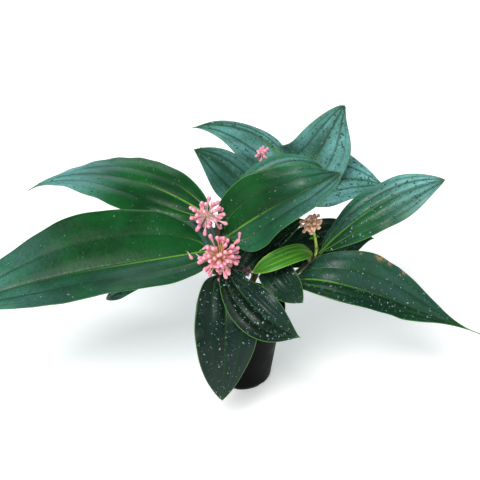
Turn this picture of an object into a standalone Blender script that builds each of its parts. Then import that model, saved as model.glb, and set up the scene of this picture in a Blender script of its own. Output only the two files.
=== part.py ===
"""A medinilla in its nursery pot: three leafy stems, their leaves and bud sprays, the soil and the pot.

Lengths are in metres and +Z is up. The origin is the middle of the pot's base, where it stands.
+X runs to the right and +Y away from the side that shows best.
"""

import math

import bmesh
import bpy
import numpy as np

# The pot, a common 12 cm nursery pot
POT_HEIGHT = 0.110
RIM_RADIUS = 0.058
RIM_BAND = 0.007
BODY_TOP_RADIUS = 0.0545
BASE_RADIUS = 0.0405
FOOT_RADIUS = 0.038
FOOT_HEIGHT = 0.005
POT_WALL = 0.0014
POT_FLOOR = 0.0020
POT_SIDES = 24
DRAIN_COUNT = 6
DRAIN_RADIUS = 0.0045

# The soil, which fills the pot to a finger's width below the rim
SOIL_TOP = 0.096
SOIL_CROWN = 0.004
SOIL_RINGS = 3

# What two neighbouring pieces keep between them
GAP = 0.0003

# Stems: points along the middle of each, from the soil upwards, with the radius at both ends
STEM_SIDES = 8
STEM_STEPS = 12
STEMS = {
    "left": {
        "route": [(-0.017, -0.008, 0.058), (-0.020, -0.012, 0.122), (-0.026, -0.024, 0.192), (-0.029, 0.000, 0.238)],
        "radii": (0.0048, 0.0030),
    },
    "back": {
        "route": [(0.001, 0.022, 0.058), (0.019, 0.038, 0.132), (0.047, 0.054, 0.197), (0.061, 0.066, 0.258)],
        "radii": (0.0048, 0.0030),
    },
    "right": {
        "route": [(0.015, 0.002, 0.058), (0.029, 0.005, 0.107), (0.063, 0.010, 0.144), (0.097, 0.015, 0.175)],
        "radii": (0.0044, 0.0028),
    },
}

# Petioles and the leaf blades' build
STUB_LENGTH = 0.0044
PETIOLE_LENGTH = 0.0070
PETIOLE_HALF_WIDTH = 0.0024
PETIOLE_THICKNESS = 0.0042
BLADE_THICKNESS = 0.0010
TIP_HALF_WIDTH = 0.0005
VEIN_AT = 0.46
BLADE_COLUMNS = (-1.0, -0.74, -0.46, -0.22, 0.0, 0.22, 0.46, 0.74, 1.0)
BLADE_ROWS = 11

# Leaves: at is the share of the stem's length where the leaf leaves it, and route the points that its midrib
# passes through from there. faces are the ways its upper side looks at base and tip. halves are the greatest
# widths of the blade's two halves, the one right of the midrib first when it is seen from above with its tip away.
# folds are the angles, in degrees, at which they rise from the midrib, and curl the share of the half's width that
# the margin rises beyond that. belly is where the blade is widest, point how sharp its tip is.
LEAVES = {
    "leaf_left_long": {
        "stem": "left", "at": 0.80, "halves": (0.082, 0.062), "belly": 0.39, "point": 1.2,
        "route": [(-0.108, -0.045, 0.205), (-0.212, -0.058, 0.191), (-0.359, -0.096, 0.161)],
        "faces": ((0.02, -0.50, 0.86), (-0.01, -0.46, 0.89)),
        "folds": (5, 32), "curl": -0.05, "wave": 0.0025, "waves": 2.5,
    },
    "leaf_left_upper": {
        "stem": "left", "at": 0.98, "halves": (0.049, 0.057), "belly": 0.54, "point": 1.27,
        "route": [(-0.124, 0.066, 0.253), (-0.178, 0.080, 0.259), (-0.278, 0.080, 0.236)],
        "faces": ((-0.23, -0.74, 0.63), (-0.16, 0.18, 0.97)),
        "folds": (-8, 16), "curl": -0.12, "wave": 0.002, "waves": 2.0,
    },
    "leaf_centre": {
        "stem": "left", "at": 0.84, "halves": (0.041, 0.048), "belly": 0.30, "point": 0.72,
        "route": [(0.018, -0.013, 0.246), (0.068, -0.026, 0.285), (0.120, 0.006, 0.298)],
        "faces": ((0.20, -0.82, 0.53), (-0.15, -0.48, 0.87)),
        "folds": (21, 17), "curl": 0.11, "wave": 0.003, "waves": 2.5,
    },
    "leaf_centre_behind": {
        "stem": "left", "at": 0.96, "halves": (0.028, 0.027), "belly": 0.48, "point": 0.99,
        "route": [(0.013, 0.022, 0.263), (0.053, 0.033, 0.288), (0.103, 0.042, 0.287)],
        "faces": ((-0.11, -0.53, 0.84), (0.10, -0.48, 0.87)),
        "folds": (6, 5), "curl": -0.10, "wave": 0.002, "waves": 2.0,
    },
    "leaf_back_left_low": {
        "stem": "back", "at": 0.80, "halves": (0.024, 0.034), "belly": 0.5, "point": 0.9,
        "route": [(0.012, 0.052, 0.251), (-0.021, 0.050, 0.284), (-0.058, 0.046, 0.310)],
        "faces": ((-0.20, -0.80, 0.55), (-0.10, -0.60, 0.80)),
        "folds": (6, 6), "curl": -0.05, "wave": 0.002, "waves": 1.5,
    },
    "leaf_back_left_top": {
        "stem": "back", "at": 0.97, "halves": (0.014, 0.04), "belly": 0.45, "point": 1.3,
        "route": [(0.043, 0.106, 0.284), (-0.001, 0.104, 0.313), (-0.062, 0.092, 0.319)],
        "faces": ((-0.33, -0.65, 0.69), (-0.01, -0.41, 0.91)),
        "folds": (-6, -10), "curl": -0.15, "wave": 0.002, "waves": 1.5,
    },
    "leaf_back_top": {
        "stem": "back", "at": 0.98, "halves": (0.044, 0.052), "belly": 0.24, "point": 0.75,
        "route": [(0.087, 0.074, 0.275), (0.114, 0.068, 0.329), (0.130, 0.080, 0.354)],
        "faces": ((-0.08, -0.98, 0.20), (0.42, -0.90, 0.12)),
        "folds": (4, 16), "curl": 0.03, "wave": 0.003, "waves": 2.0,
    },
    "leaf_back_right": {
        "stem": "back", "at": 0.80, "halves": (0.041, 0.045), "belly": 0.45, "point": 1.34,
        "route": [(0.099, 0.079, 0.245), (0.145, 0.085, 0.250), (0.190, 0.092, 0.236)],
        "faces": ((0.00, -0.51, 0.86), (0.11, -0.45, 0.89)),
        "folds": (10, 12), "curl": -0.02, "wave": 0.002, "waves": 2.0,
    },
    "leaf_right_upper": {
        "stem": "right", "at": 0.98, "halves": (0.033, 0.029), "belly": 0.55, "point": 0.8,
        "route": [(0.137, 0.014, 0.221), (0.196, 0.024, 0.258), (0.253, 0.028, 0.277)],
        "faces": ((-0.20, -0.60, 0.75), (0.00, -0.55, 0.80)),
        "folds": (2, -4), "curl": -0.1, "wave": 0.002, "waves": 2.5,
    },
    "leaf_right_lower": {
        "stem": "right", "at": 0.64, "halves": (0.029, 0.047), "belly": 0.42, "point": 2.19,
        "route": [(0.099, -0.032, 0.168), (0.176, -0.038, 0.148), (0.300, -0.058, 0.105)],
        "faces": ((0.09, -0.45, 0.89), (0.10, -0.50, 0.86)),
        "folds": (9, 18), "curl": 0.04, "wave": 0.003, "waves": 2.5,
    },
    "leaf_right_back": {
        "stem": "back", "at": 0.42, "halves": (0.034, 0.034), "belly": 0.55, "point": 1.17,
        "route": [(0.069, 0.036, 0.168), (0.125, 0.057, 0.176), (0.179, 0.078, 0.164)],
        "faces": ((0.00, -0.60, 0.80), (0.00, -0.60, 0.80)),
        "folds": (4, 4), "curl": -0.1, "wave": 0.002, "waves": 2.0,
    },
    "leaf_young_left": {
        "stem": "right", "at": 0.92, "halves": (0.012, 0.015), "belly": 0.55, "point": 0.7,
        "route": [(0.073, -0.022, 0.204), (0.048, -0.040, 0.205), (0.014, -0.044, 0.187)],
        "faces": ((0.01, -0.62, 0.79), (-0.44, -0.60, 0.67)),
        "folds": (15, 5), "curl": 0.03, "wave": 0.0015, "waves": 1.5,
    },
    "leaf_right_front": {
        "stem": "right", "at": 0.52, "halves": (0.027, 0.017), "belly": 0.62, "point": 0.90,
        "route": [(0.043, -0.026, 0.182), (0.062, -0.048, 0.167), (0.077, -0.050, 0.146)],
        "faces": ((-0.06, -0.60, 0.80), (-0.12, -0.86, 0.50)),
        "folds": (8, 10), "curl": -0.05, "wave": 0.001, "waves": 1.5,
    },
    "leaf_front_low": {
        "stem": "left", "at": 0.68, "halves": (0.039, 0.039), "belly": 0.40, "point": 0.86,
        "route": [(-0.019, -0.069, 0.166), (-0.019, -0.102, 0.109), (-0.023, -0.105, 0.037)],
        "faces": ((0.15, -0.58, 0.80), (0.26, -0.95, 0.17)),
        "folds": (9, 9), "curl": -0.08, "wave": 0.002, "waves": 2.0,
    },
    "leaf_front_right": {
        "stem": "left", "at": 0.74, "halves": (0.032, 0.026), "belly": 0.52, "point": 1.29,
        "route": [(0.006, -0.075, 0.170), (0.032, -0.097, 0.155), (0.072, -0.098, 0.128)],
        "faces": ((0.21, -0.56, 0.80), (-0.13, -0.87, 0.47)),
        "folds": (13, 11), "curl": -0.06, "wave": 0.002, "waves": 2.0,
    },
    "leaf_back_away": {
        "stem": "back", "at": 0.62, "halves": (0.040, 0.040), "belly": 0.5, "point": 1.20,
        "route": [(0.053, 0.105, 0.224), (0.051, 0.160, 0.212), (0.045, 0.218, 0.168)],
        "faces": ((0.05, 0.10, 0.99), (0.05, 0.45, 0.89)),
        "folds": (8, 8), "curl": -0.10, "wave": 0.002, "waves": 2.0,
    },
    "leaf_left_away": {
        "stem": "left", "at": 0.56, "halves": (0.036, 0.036), "belly": 0.45, "point": 1.20,
        "route": [(-0.060, 0.036, 0.186), (-0.097, 0.094, 0.186), (-0.139, 0.150, 0.152)],
        "faces": ((-0.10, 0.00, 0.99), (-0.40, 0.40, 0.82)),
        "folds": (6, 6), "curl": -0.10, "wave": 0.002, "waves": 2.0,
    },
    "leaf_inner_left": {
        "stem": "back", "at": 0.42, "halves": (0.036, 0.034), "belly": 0.44, "point": 1.20,
        "route": [(0.003, 0.050, 0.162), (-0.029, 0.054, 0.156), (-0.067, 0.062, 0.138)],
        "faces": ((0.00, -0.70, 0.70), (0.00, -0.70, 0.70)),
        "folds": (6, 6), "curl": -0.10, "wave": 0.002, "waves": 2.0,
    },
    "leaf_inner_right": {
        "stem": "left", "at": 0.42, "halves": (0.01, 0.04), "belly": 0.50, "point": 0.90,
        "route": [(0.005, 0.000, 0.162), (0.040, 0.014, 0.192), (0.080, 0.022, 0.224)],
        "faces": ((-0.10, -0.75, 0.65), (-0.10, -0.75, 0.65)),
        "folds": (6, 6), "curl": -0.05, "wave": 0.002, "waves": 2.0,
    },
    "leaf_left_under": {
        "stem": "left", "at": 0.62, "halves": (0.028, 0.025), "belly": 0.49, "point": 0.60,
        "route": [(-0.097, -0.021, 0.196), (-0.132, -0.040, 0.181), (-0.168, -0.034, 0.145)],
        "faces": ((0.00, -0.30, 0.95), (0.02, -0.50, 0.86)),
        "folds": (8, 13), "curl": -0.01, "wave": 0.002, "waves": 2.0,
    },
}

# Bud sprays: route is the stalk's way from the stem, and each spray has one head of buds at its end
BUD_SIDES = 5
PEDICEL_RADIUS = 0.0006
SPRAYS = {
    "spray_left": {
        "stem": "left", "at": 0.97, "stalk": 0.0013, "count": 30, "reach": (0.015, 0.027), "seed": 11,
        "route": [(-0.036, -0.016, 0.254), (-0.040, -0.030, 0.259)], "bud": (0.0100, 0.0026),
    },
    "spray_front": {
        "stem": "left", "at": 0.82, "stalk": 0.0016, "count": 46, "reach": (0.018, 0.032), "seed": 23,
        "route": [(-0.024, -0.044, 0.221), (-0.025, -0.058, 0.218)], "bud": (0.0100, 0.0026),
    },
    "spray_right": {
        "stem": "right", "at": 0.98, "stalk": 0.0018, "count": 28, "reach": (0.009, 0.016), "seed": 5,
        "route": [(0.094, -0.004, 0.202), (0.087, -0.008, 0.234)], "bud": (0.0065, 0.0023),
    },
    "spray_back": {
        "stem": "back", "at": 0.99, "stalk": 0.0013, "count": 12, "reach": (0.008, 0.014), "seed": 7,
        "route": [(0.038, 0.078, 0.278), (0.027, 0.077, 0.289)], "bud": (0.0070, 0.0022),
    },
}


def unit(vector):
    vector = np.asarray(vector, float)
    return vector / np.linalg.norm(vector)


def smooth_route(points, count):
    """The polynomial through the points, spaced by the length between them, and read at equal steps of length."""
    points = np.asarray(points, float)
    spacing = np.concatenate([[0.0], np.cumsum(np.linalg.norm(np.diff(points, axis=0), axis=1))])
    terms = np.polyfit(spacing / spacing[-1], points, len(points) - 1)
    fine = np.vander(np.linspace(0.0, 1.0, 400), len(points)) @ terms
    length = np.concatenate([[0.0], np.cumsum(np.linalg.norm(np.diff(fine, axis=0), axis=1))])
    wanted = count if np.ndim(count) else np.linspace(0.0, 1.0, count)
    return np.stack([np.interp(np.asarray(wanted) * length[-1], length, fine[:, k]) for k in range(3)], axis=1)


def stem_radius(name, share):
    thick, thin = STEMS[name]["radii"]
    return thick + (thin - thick) * share


def outgrowth_route(stem, at, route):
    """The route of what grows from a stem, starting just outside the stem's own side, with the stem's middle there."""
    middle = smooth_route(STEMS[stem]["route"], [at])[0]
    start = middle + unit(np.array(route[0]) - middle) * (stem_radius(stem, at) + STUB_LENGTH)
    return middle, [start, *route]


def blade_fullness(leaf, share):
    """The share of its greatest width that the blade has: a sine bulging at the belly, blunt at the base only."""
    petiole = PETIOLE_LENGTH / leaf_length(leaf)
    along = np.clip((share - petiole) / (1.0 - petiole), 0.0, 1.0)
    stretch = math.log(0.5) / math.log(leaf["belly"])
    sharpness = 0.55 + (leaf["point"] - 0.55) * along
    return np.sin(np.pi * along**stretch).clip(0.0) ** sharpness


def leaf_length(leaf):
    _, route = outgrowth_route(leaf["stem"], leaf["at"], leaf["route"])
    return np.linalg.norm(np.diff(smooth_route(route, 60), axis=0), axis=1).sum()


def leaf_frame(leaf, shares):
    """The midrib's points at shares of its length, and there the ways across, to the right, and up from the leaf."""
    shares = np.asarray(shares, float)
    _, route = outgrowth_route(leaf["stem"], leaf["at"], leaf["route"])
    along = smooth_route(route, np.clip(shares + 0.01, 0, 1)) - smooth_route(route, np.clip(shares - 0.01, 0, 1))
    along /= np.linalg.norm(along, axis=1, keepdims=True)
    first, last = (unit(way) for way in leaf["faces"])
    up = first + (last - first) * shares[:, None]
    up -= (up * along).sum(axis=1, keepdims=True) * along
    up /= np.linalg.norm(up, axis=1, keepdims=True)
    return smooth_route(route, shares), np.cross(along, up), up


def blade_surface(leaf, shares, across):
    """Points of the leaf's upper side, for shares of its length and places across from -1 to 1.

    The midrib follows the route. Each half rises from it by its fold and curls, waves towards its margin, and is
    lower along the midrib and the two side veins than between them.
    """
    shares = np.asarray(shares, float)
    across = np.asarray(across, float)[None, :]
    midrib, side, up = leaf_frame(leaf, shares)
    grown = blade_fullness(leaf, shares)[:, None]
    narrowest = TIP_HALF_WIDTH + (PETIOLE_HALF_WIDTH - TIP_HALF_WIDTH) * (1.0 - shares[:, None]) ** 2
    half = np.maximum(grown * np.where(across > 0, *leaf["halves"]), narrowest)
    fold = np.radians(np.where(across > 0, *leaf["folds"])) * grown
    reach = half * across * np.cos(fold)
    ripple = np.sin(2 * np.pi * leaf["waves"] * shares[:, None] + np.where(across > 0, 0.0, 1.9))
    quilt = 0.0012 * grown * (1 - np.cos(2 * np.pi * np.abs(across) / VEIN_AT)) / 2 * (np.abs(across) < 2 * VEIN_AT)
    rise = half * np.abs(across) * np.sin(fold) + half * leaf["curl"] * across**2 * grown
    rise = rise + leaf["wave"] * ripple * across**2 * grown + quilt
    return midrib[:, None, :] + side[:, None, :] * reach[..., None] + up[:, None, :] * rise[..., None]


def leaf_shares(leaf, rows):
    """Shares of the leaf's length: the petiole's two ends, then rows that lie closer towards both ends of the blade."""
    petiole = PETIOLE_LENGTH / leaf_length(leaf)
    even = np.linspace(0.0, 1.0, rows)
    eased = 0.5 * even + 0.5 * (1 - np.cos(np.pi * even)) / 2
    return np.concatenate([[0.0], petiole + (1 - petiole) * eased])


def new_object(name, mesh_source, material):
    """A named object from a bmesh, with its one material."""
    mesh = bpy.data.meshes.new(name)
    mesh_source.to_mesh(mesh)
    mesh_source.free()
    made = bpy.data.objects.new(name, mesh)
    bpy.context.scene.collection.objects.link(made)
    mesh.materials.append(material)
    return made


def colour(name, rgb, roughness):
    material = bpy.data.materials.new(name)
    material.use_nodes = True
    shader = material.node_tree.nodes["Principled BSDF"]
    shader.inputs["Base Color"].default_value = (*rgb, 1.0)
    shader.inputs["Roughness"].default_value = roughness
    return material


def add_rings(mesh, rings):
    """Joins rings of points into one closed skin: triangles between neighbours, and a fan on each end ring."""
    rows = [[mesh.verts.new(point) for point in ring] for ring in rings]
    for lower, upper in zip(rows, rows[1:]):
        for i in range(len(lower)):
            j = (i + 1) % len(lower)
            if len(upper) == 1:
                mesh.faces.new((lower[i], lower[j], upper[0]))
            else:
                mesh.faces.new((lower[i], lower[j], upper[j]))
                mesh.faces.new((lower[i], upper[j], upper[i]))
    mesh.faces.new(rows[0][::-1])
    if len(rows[-1]) > 1:
        mesh.faces.new(rows[-1])


def tube_rings(path, radii, sides):
    """Rings round a path, each square to it and turned as little as can be from the one before."""
    path = np.asarray(path, float)
    along = np.gradient(path, axis=0)
    along /= np.linalg.norm(along, axis=1, keepdims=True)
    aside = unit(np.cross(along[0], (0.31, 0.52, 0.79)))
    rings = []
    for point, way, radius in zip(path, along, np.broadcast_to(radii, len(path))):
        aside = unit(aside - way * (aside @ way))
        third = np.cross(way, aside)
        turns = 2 * np.pi * np.arange(sides) / sides
        rings.append(point + radius * (np.cos(turns)[:, None] * aside + np.sin(turns)[:, None] * third))
    return rings


def tube(name, path, radii, sides, material):
    mesh = bmesh.new()
    add_rings(mesh, tube_rings(path, radii, sides))
    return new_object(name, mesh, material)


def union_all(body, others):
    """Joins the others into the body with one Boolean on their collection, and removes them."""
    helpers = bpy.data.collections.new(body.name + "_joined")
    bpy.context.scene.collection.children.link(helpers)
    for other in others:
        bpy.context.scene.collection.objects.unlink(other)
        helpers.objects.link(other)
    join = body.modifiers.new("join", "BOOLEAN")
    join.operation = "UNION"
    join.solver = "MANIFOLD"
    join.operand_type = "COLLECTION"
    join.collection = helpers
    bpy.context.view_layer.objects.active = body
    bpy.ops.object.modifier_apply(modifier=join.name)
    for other in others:
        bpy.data.objects.remove(other)
    bpy.data.collections.remove(helpers)


def cut(body, cutters):
    """Cuts each cutter out of the body, and removes the cutter."""
    for cutter in cutters:
        hollow = body.modifiers.new("hollow", "BOOLEAN")
        hollow.operation = "DIFFERENCE"
        hollow.object = cutter
        bpy.context.view_layer.objects.active = body
        bpy.ops.object.modifier_apply(modifier=hollow.name)
        bpy.data.objects.remove(cutter)


def turned(name, profile, material):
    """A profile of (radius, height) turned about the pot's axis by a Screw modifier."""
    mesh = bmesh.new()
    points = [mesh.verts.new((radius, 0.0, height)) for radius, height in profile]
    for first, second in zip(points, points[1:]):
        mesh.edges.new((first, second))
    made = new_object(name, mesh, material)
    screw = made.modifiers.new("turn", "SCREW")
    screw.steps = screw.render_steps = POT_SIDES
    screw.use_merge_vertices = True
    screw.merge_threshold = 0.0001
    bpy.context.view_layer.objects.active = made
    bpy.ops.object.modifier_apply(modifier=screw.name)
    return made


def wall_radius(height):
    """The pot wall's outer radius at a height between the foot and the rim band."""
    share = (height - FOOT_HEIGHT) / (POT_HEIGHT - RIM_BAND - FOOT_HEIGHT)
    return BASE_RADIUS + (BODY_TOP_RADIUS - BASE_RADIUS) * share


def make_pot(material):
    """The pot: a tapered wall with a rim band that stands out, a drawn-in foot, and drain notches round the foot."""
    band = POT_HEIGHT - RIM_BAND
    profile = [
        (0.0, POT_FLOOR),
        (FOOT_RADIUS - POT_WALL, POT_FLOOR),
        (BASE_RADIUS - POT_WALL, FOOT_HEIGHT + POT_FLOOR),
        (wall_radius(band) - POT_WALL, band),
        (RIM_RADIUS - POT_WALL, band + POT_WALL),
        (RIM_RADIUS - POT_WALL, POT_HEIGHT),
        (RIM_RADIUS, POT_HEIGHT),
        (RIM_RADIUS, band),
        (wall_radius(band), band),
        (BASE_RADIUS, FOOT_HEIGHT),
        (FOOT_RADIUS, 0.0),
        (0.0, 0.0),
    ]
    pot = turned("pot", profile, material)
    notches = []
    for k in range(DRAIN_COUNT):
        angle = 2 * math.pi * (k + 0.25) / DRAIN_COUNT
        way = np.array([math.cos(angle), math.sin(angle), 0.0])
        low = np.array([0.0, 0.0, -0.001])
        path = [way * (FOOT_RADIUS - 0.010) + low, way * (FOOT_RADIUS + 0.006) + low]
        notches.append(tube("notch", path, DRAIN_RADIUS, 8, material))
    cut(pot, notches)
    return pot


def make_soil(material):
    """The soil: a plug that fits the pot's inside, with a low crown and a plain hole for each stem."""
    inside = POT_WALL + GAP
    levels = np.linspace(1.0, 0.0, SOIL_RINGS + 1)[:-1]
    top_radius = wall_radius(SOIL_TOP) - inside
    crown = [(0.0, SOIL_TOP + SOIL_CROWN)]
    crown += [(top_radius * (1 - level), SOIL_TOP + SOIL_CROWN * level**0.5) for level in levels[1:]]
    profile = [
        *crown,
        (top_radius, SOIL_TOP),
        (BASE_RADIUS - inside, FOOT_HEIGHT + POT_FLOOR + GAP),
        (FOOT_RADIUS - inside - GAP, POT_FLOOR + GAP),
        (0.0, POT_FLOOR + GAP),
    ]
    soil = turned("soil", profile, material)
    holes = []
    for name, stem in STEMS.items():
        path = smooth_route(stem["route"], STEM_STEPS)
        path = path[path[:, 2] < SOIL_TOP + 0.02]
        path = np.vstack([path[0] - unit(path[1] - path[0]) * 0.002, path])
        holes.append(tube("hole", path, stem_radius(name, 0.0) + 2 * GAP, STEM_SIDES, material))
    cut(soil, holes)
    return soil


def stub(middle, route, radius, drop, material):
    """The stem's own end of a petiole or stalk: from the stem's middle to a flat end square to what it carries."""
    near, far = smooth_route(route, [0.0, 0.03])
    way = unit(far - near)
    end = near - way * GAP - drop
    return tube("stub", [middle, end - way * STUB_LENGTH / 2, end], radius, STEM_SIDES - 2, material)


def make_stem(name, material):
    """A stem with a stub for each leaf and spray that it carries."""
    path = smooth_route(STEMS[name]["route"], STEM_STEPS)
    shares = np.linspace(0.0, 1.0, STEM_STEPS)
    stem = tube(f"stem_{name}", path, stem_radius(name, shares), STEM_SIDES, material)
    stubs = []
    for leaf in LEAVES.values():
        if leaf["stem"] == name:
            middle, route = outgrowth_route(name, leaf["at"], leaf["route"])
            drop = leaf_frame(leaf, [0.0])[2][0] * PETIOLE_THICKNESS / 2
            stubs.append(stub(middle, route, PETIOLE_THICKNESS / 2, drop, material))
    for spray in SPRAYS.values():
        if spray["stem"] == name:
            middle, route = outgrowth_route(name, spray["at"], spray["route"])
            stubs.append(stub(middle, route, spray["stalk"], np.zeros(3), material))
    union_all(stem, stubs)
    return stem


def make_leaf(name, leaf, material):
    """A leaf: its upper side as a mesh of triangles, given its thickness by a Solidify that is thick at the midrib."""
    shares = leaf_shares(leaf, BLADE_ROWS)
    points = blade_surface(leaf, shares, BLADE_COLUMNS)
    mesh = bmesh.new()
    grid = [[mesh.verts.new(point) for point in row] for row in points]
    for lower, upper in zip(grid, grid[1:]):
        for i in range(len(lower) - 1):
            mesh.faces.new((lower[i], lower[i + 1], upper[i + 1]))
            mesh.faces.new((lower[i], upper[i + 1], upper[i]))
    made = new_object(name, mesh, material)
    thick = made.vertex_groups.new(name="thickness")
    columns = len(BLADE_COLUMNS)
    for row, share in enumerate(shares):
        for column, across in enumerate(BLADE_COLUMNS):
            rib = BLADE_THICKNESS + (PETIOLE_THICKNESS - BLADE_THICKNESS) * (1 - share) ** 1.5
            depth = rib if across == 0.0 or row < 2 else BLADE_THICKNESS
            thick.add([row * columns + column], depth / PETIOLE_THICKNESS, "REPLACE")
    wall = made.modifiers.new("thickness", "SOLIDIFY")
    wall.thickness = PETIOLE_THICKNESS
    wall.offset = -1.0
    wall.vertex_group = thick.name
    return made


def bud_ways(spray, incoming):
    """Ways out of a head of buds: a golden spiral over the ball, leaving out a cone where the stalk comes in."""
    draw = np.random.default_rng(spray["seed"])
    index = np.arange(spray["count"])
    level = 1.0 - 1.72 * (index + 0.5) / spray["count"]
    turn = index * math.pi * (3.0 - math.sqrt(5.0))
    ring = np.sqrt(1.0 - level**2)
    local = np.stack([ring * np.cos(turn), ring * np.sin(turn), level], axis=1)
    local += draw.normal(0.0, 0.10, local.shape)
    local /= np.linalg.norm(local, axis=1, keepdims=True)
    low, high = spray["reach"]
    reach = draw.uniform(low, high, spray["count"])
    aside = unit(np.cross(incoming, (0.31, 0.52, 0.79)))
    frame = np.stack([aside, np.cross(incoming, aside), incoming])
    return local @ frame, reach


def bud_path(way, reach, bud):
    """Shares and radii along a bud on its pedicel: a thin stalk, then a club with a blunt tip."""
    length, radius = bud
    neck = max(reach - length, 0.3 * reach)
    at = np.array([0.0, neck, neck + 0.62 * (reach - neck), neck + 0.88 * (reach - neck)])
    radii = np.array([PEDICEL_RADIUS, PEDICEL_RADIUS * 1.4, radius, 0.72 * radius])
    return at[:, None] * way, radii


def make_spray(name, spray, material):
    """A spray: a stalk, the knob at its end, and buds that stand out of the knob all round."""
    _, route = outgrowth_route(spray["stem"], spray["at"], spray["route"])
    path = smooth_route(route, 6)
    made = tube(name, path, spray["stalk"], 6, material)
    heart = path[-1]
    knob = bmesh.new()
    bmesh.ops.create_icosphere(knob, subdivisions=1, radius=2.2 * spray["stalk"])
    bmesh.ops.translate(knob, verts=knob.verts, vec=heart)
    pieces = [new_object("knob", knob, material)]
    ways, reaches = bud_ways(spray, unit(path[-1] - path[-2]))
    for way, reach in zip(ways, reaches):
        places, radii = bud_path(way, reach, spray["bud"])
        mesh = bmesh.new()
        add_rings(mesh, [*tube_rings(heart + places, radii, BUD_SIDES), [heart + way * reach]])
        pieces.append(new_object("bud", mesh, material))
    union_all(made, pieces)
    return made


def main():
    for old in list(bpy.data.objects):
        bpy.data.objects.remove(old)
    make_pot(colour("black_plastic", (0.012, 0.012, 0.014), 0.45))
    make_soil(colour("dark_peat", (0.030, 0.020, 0.014), 0.95))
    bark = colour("brown_stem", (0.120, 0.085, 0.045), 0.70)
    green = colour("leaf_green", (0.012, 0.075, 0.028), 0.35)
    young = colour("young_leaf_green", (0.055, 0.190, 0.020), 0.35)
    pink = colour("pink_bud", (0.780, 0.300, 0.370), 0.45)
    peach = colour("peach_bud", (0.740, 0.400, 0.280), 0.45)
    for name in STEMS:
        make_stem(name, bark)
    for name, leaf in LEAVES.items():
        make_leaf(name, leaf, young if "young" in name else green)
    for name, spray in SPRAYS.items():
        make_spray(name, spray, peach if name == "spray_right" else pink)


if __name__ == "__main__":
    main()
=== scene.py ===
import math

import bpy
import numpy as np
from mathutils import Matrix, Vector


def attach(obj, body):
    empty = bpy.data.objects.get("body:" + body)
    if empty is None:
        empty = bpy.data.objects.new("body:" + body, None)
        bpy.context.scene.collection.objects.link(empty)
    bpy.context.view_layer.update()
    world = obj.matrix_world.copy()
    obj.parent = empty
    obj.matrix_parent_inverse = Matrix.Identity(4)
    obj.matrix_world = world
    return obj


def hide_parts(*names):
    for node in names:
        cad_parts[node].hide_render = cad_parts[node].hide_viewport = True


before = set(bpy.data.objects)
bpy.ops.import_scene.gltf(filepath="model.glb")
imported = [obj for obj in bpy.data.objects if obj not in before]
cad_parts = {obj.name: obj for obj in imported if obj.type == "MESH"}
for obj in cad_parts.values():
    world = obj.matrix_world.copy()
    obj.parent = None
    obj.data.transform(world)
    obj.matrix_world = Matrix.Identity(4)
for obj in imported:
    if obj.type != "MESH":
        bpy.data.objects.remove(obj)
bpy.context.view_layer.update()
print("frame loaded:", len(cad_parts), "nodes")

# camera first, so that every look at the plant is through the same lens
camera = {"target": (-0.001, 0.0, 0.207), "distance": 1.2, "lookDown": 30.0, "lens": 72.0, "sensor": 36.0}
cameraData = bpy.data.cameras.new("camera")
cameraData.lens = camera["lens"]
cameraData.sensor_width = camera["sensor"]
cameraObject = bpy.data.objects.new("camera", cameraData)
bpy.context.scene.collection.objects.link(cameraObject)
tilt = math.radians(camera["lookDown"])
cameraObject.location = (
    camera["target"][0],
    camera["target"][1] - camera["distance"] * math.cos(tilt),
    camera["target"][2] + camera["distance"] * math.sin(tilt),
)
cameraObject.rotation_euler = (math.pi / 2 - tilt, 0.0, 0.0)
bpy.context.scene.camera = cameraObject


# ways and routes, as in the part's own construction

def unitVector(vector):
    vector = np.asarray(vector, float)
    return vector / np.linalg.norm(vector, axis=-1, keepdims=True)


def smoothRoute(points, shares):
    # one polynomial through the points, spaced by the length between them, read at shares of its own length
    points = np.asarray(points, float)
    spacing = np.concatenate([[0.0], np.cumsum(np.linalg.norm(np.diff(points, axis=0), axis=1))])
    terms = np.polyfit(spacing / spacing[-1], points, len(points) - 1)
    fine = np.vander(np.linspace(0.0, 1.0, 400), len(points)) @ terms
    length = np.concatenate([[0.0], np.cumsum(np.linalg.norm(np.diff(fine, axis=0), axis=1))])
    shares = np.asarray(shares, float) * length[-1]
    return np.stack([np.interp(shares, length, fine[:, k]) for k in range(3)], axis=1)


def eased(low, high, value):
    # 0 below low, 1 above high, and a smooth step between
    share = np.clip((value - low) / (high - low), 0.0, 1.0)
    return share * share * (3.0 - 2.0 * share)


def wavyField(seed, places, scale, count=9):
    # a soft random field from -1 to 1: the mean of sines with random ways and phases, scale metres long
    draw = np.random.default_rng(seed)
    ways = unitVector(draw.normal(size=(count, 3))) * 2.0 * np.pi / scale * draw.uniform(0.6, 1.7, (count, 1))
    phases = draw.uniform(0.0, 2.0 * np.pi, count)
    return np.clip(np.sin(places @ ways.T + phases).mean(axis=-1) * 2.2, -1.0, 1.0)


def addPiece(name, points, faces, material, fields=None):
    # a smooth-shaded mesh object at the origin, with one number per point for each named field
    mesh = bpy.data.meshes.new(name)
    mesh.from_pydata(np.asarray(points, float).reshape(-1, 3).tolist(), [], [list(f) for f in faces])
    for key, values in (fields or {}).items():
        layer = mesh.attributes.new(key, "FLOAT", "POINT")
        layer.data.foreach_set("value", np.ascontiguousarray(np.asarray(values, np.float32).ravel()))
    mesh.shade_smooth()
    mesh.materials.append(material)
    piece = bpy.data.objects.new(name, mesh)
    bpy.context.scene.collection.objects.link(piece)
    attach(piece, "root")
    return piece


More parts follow.
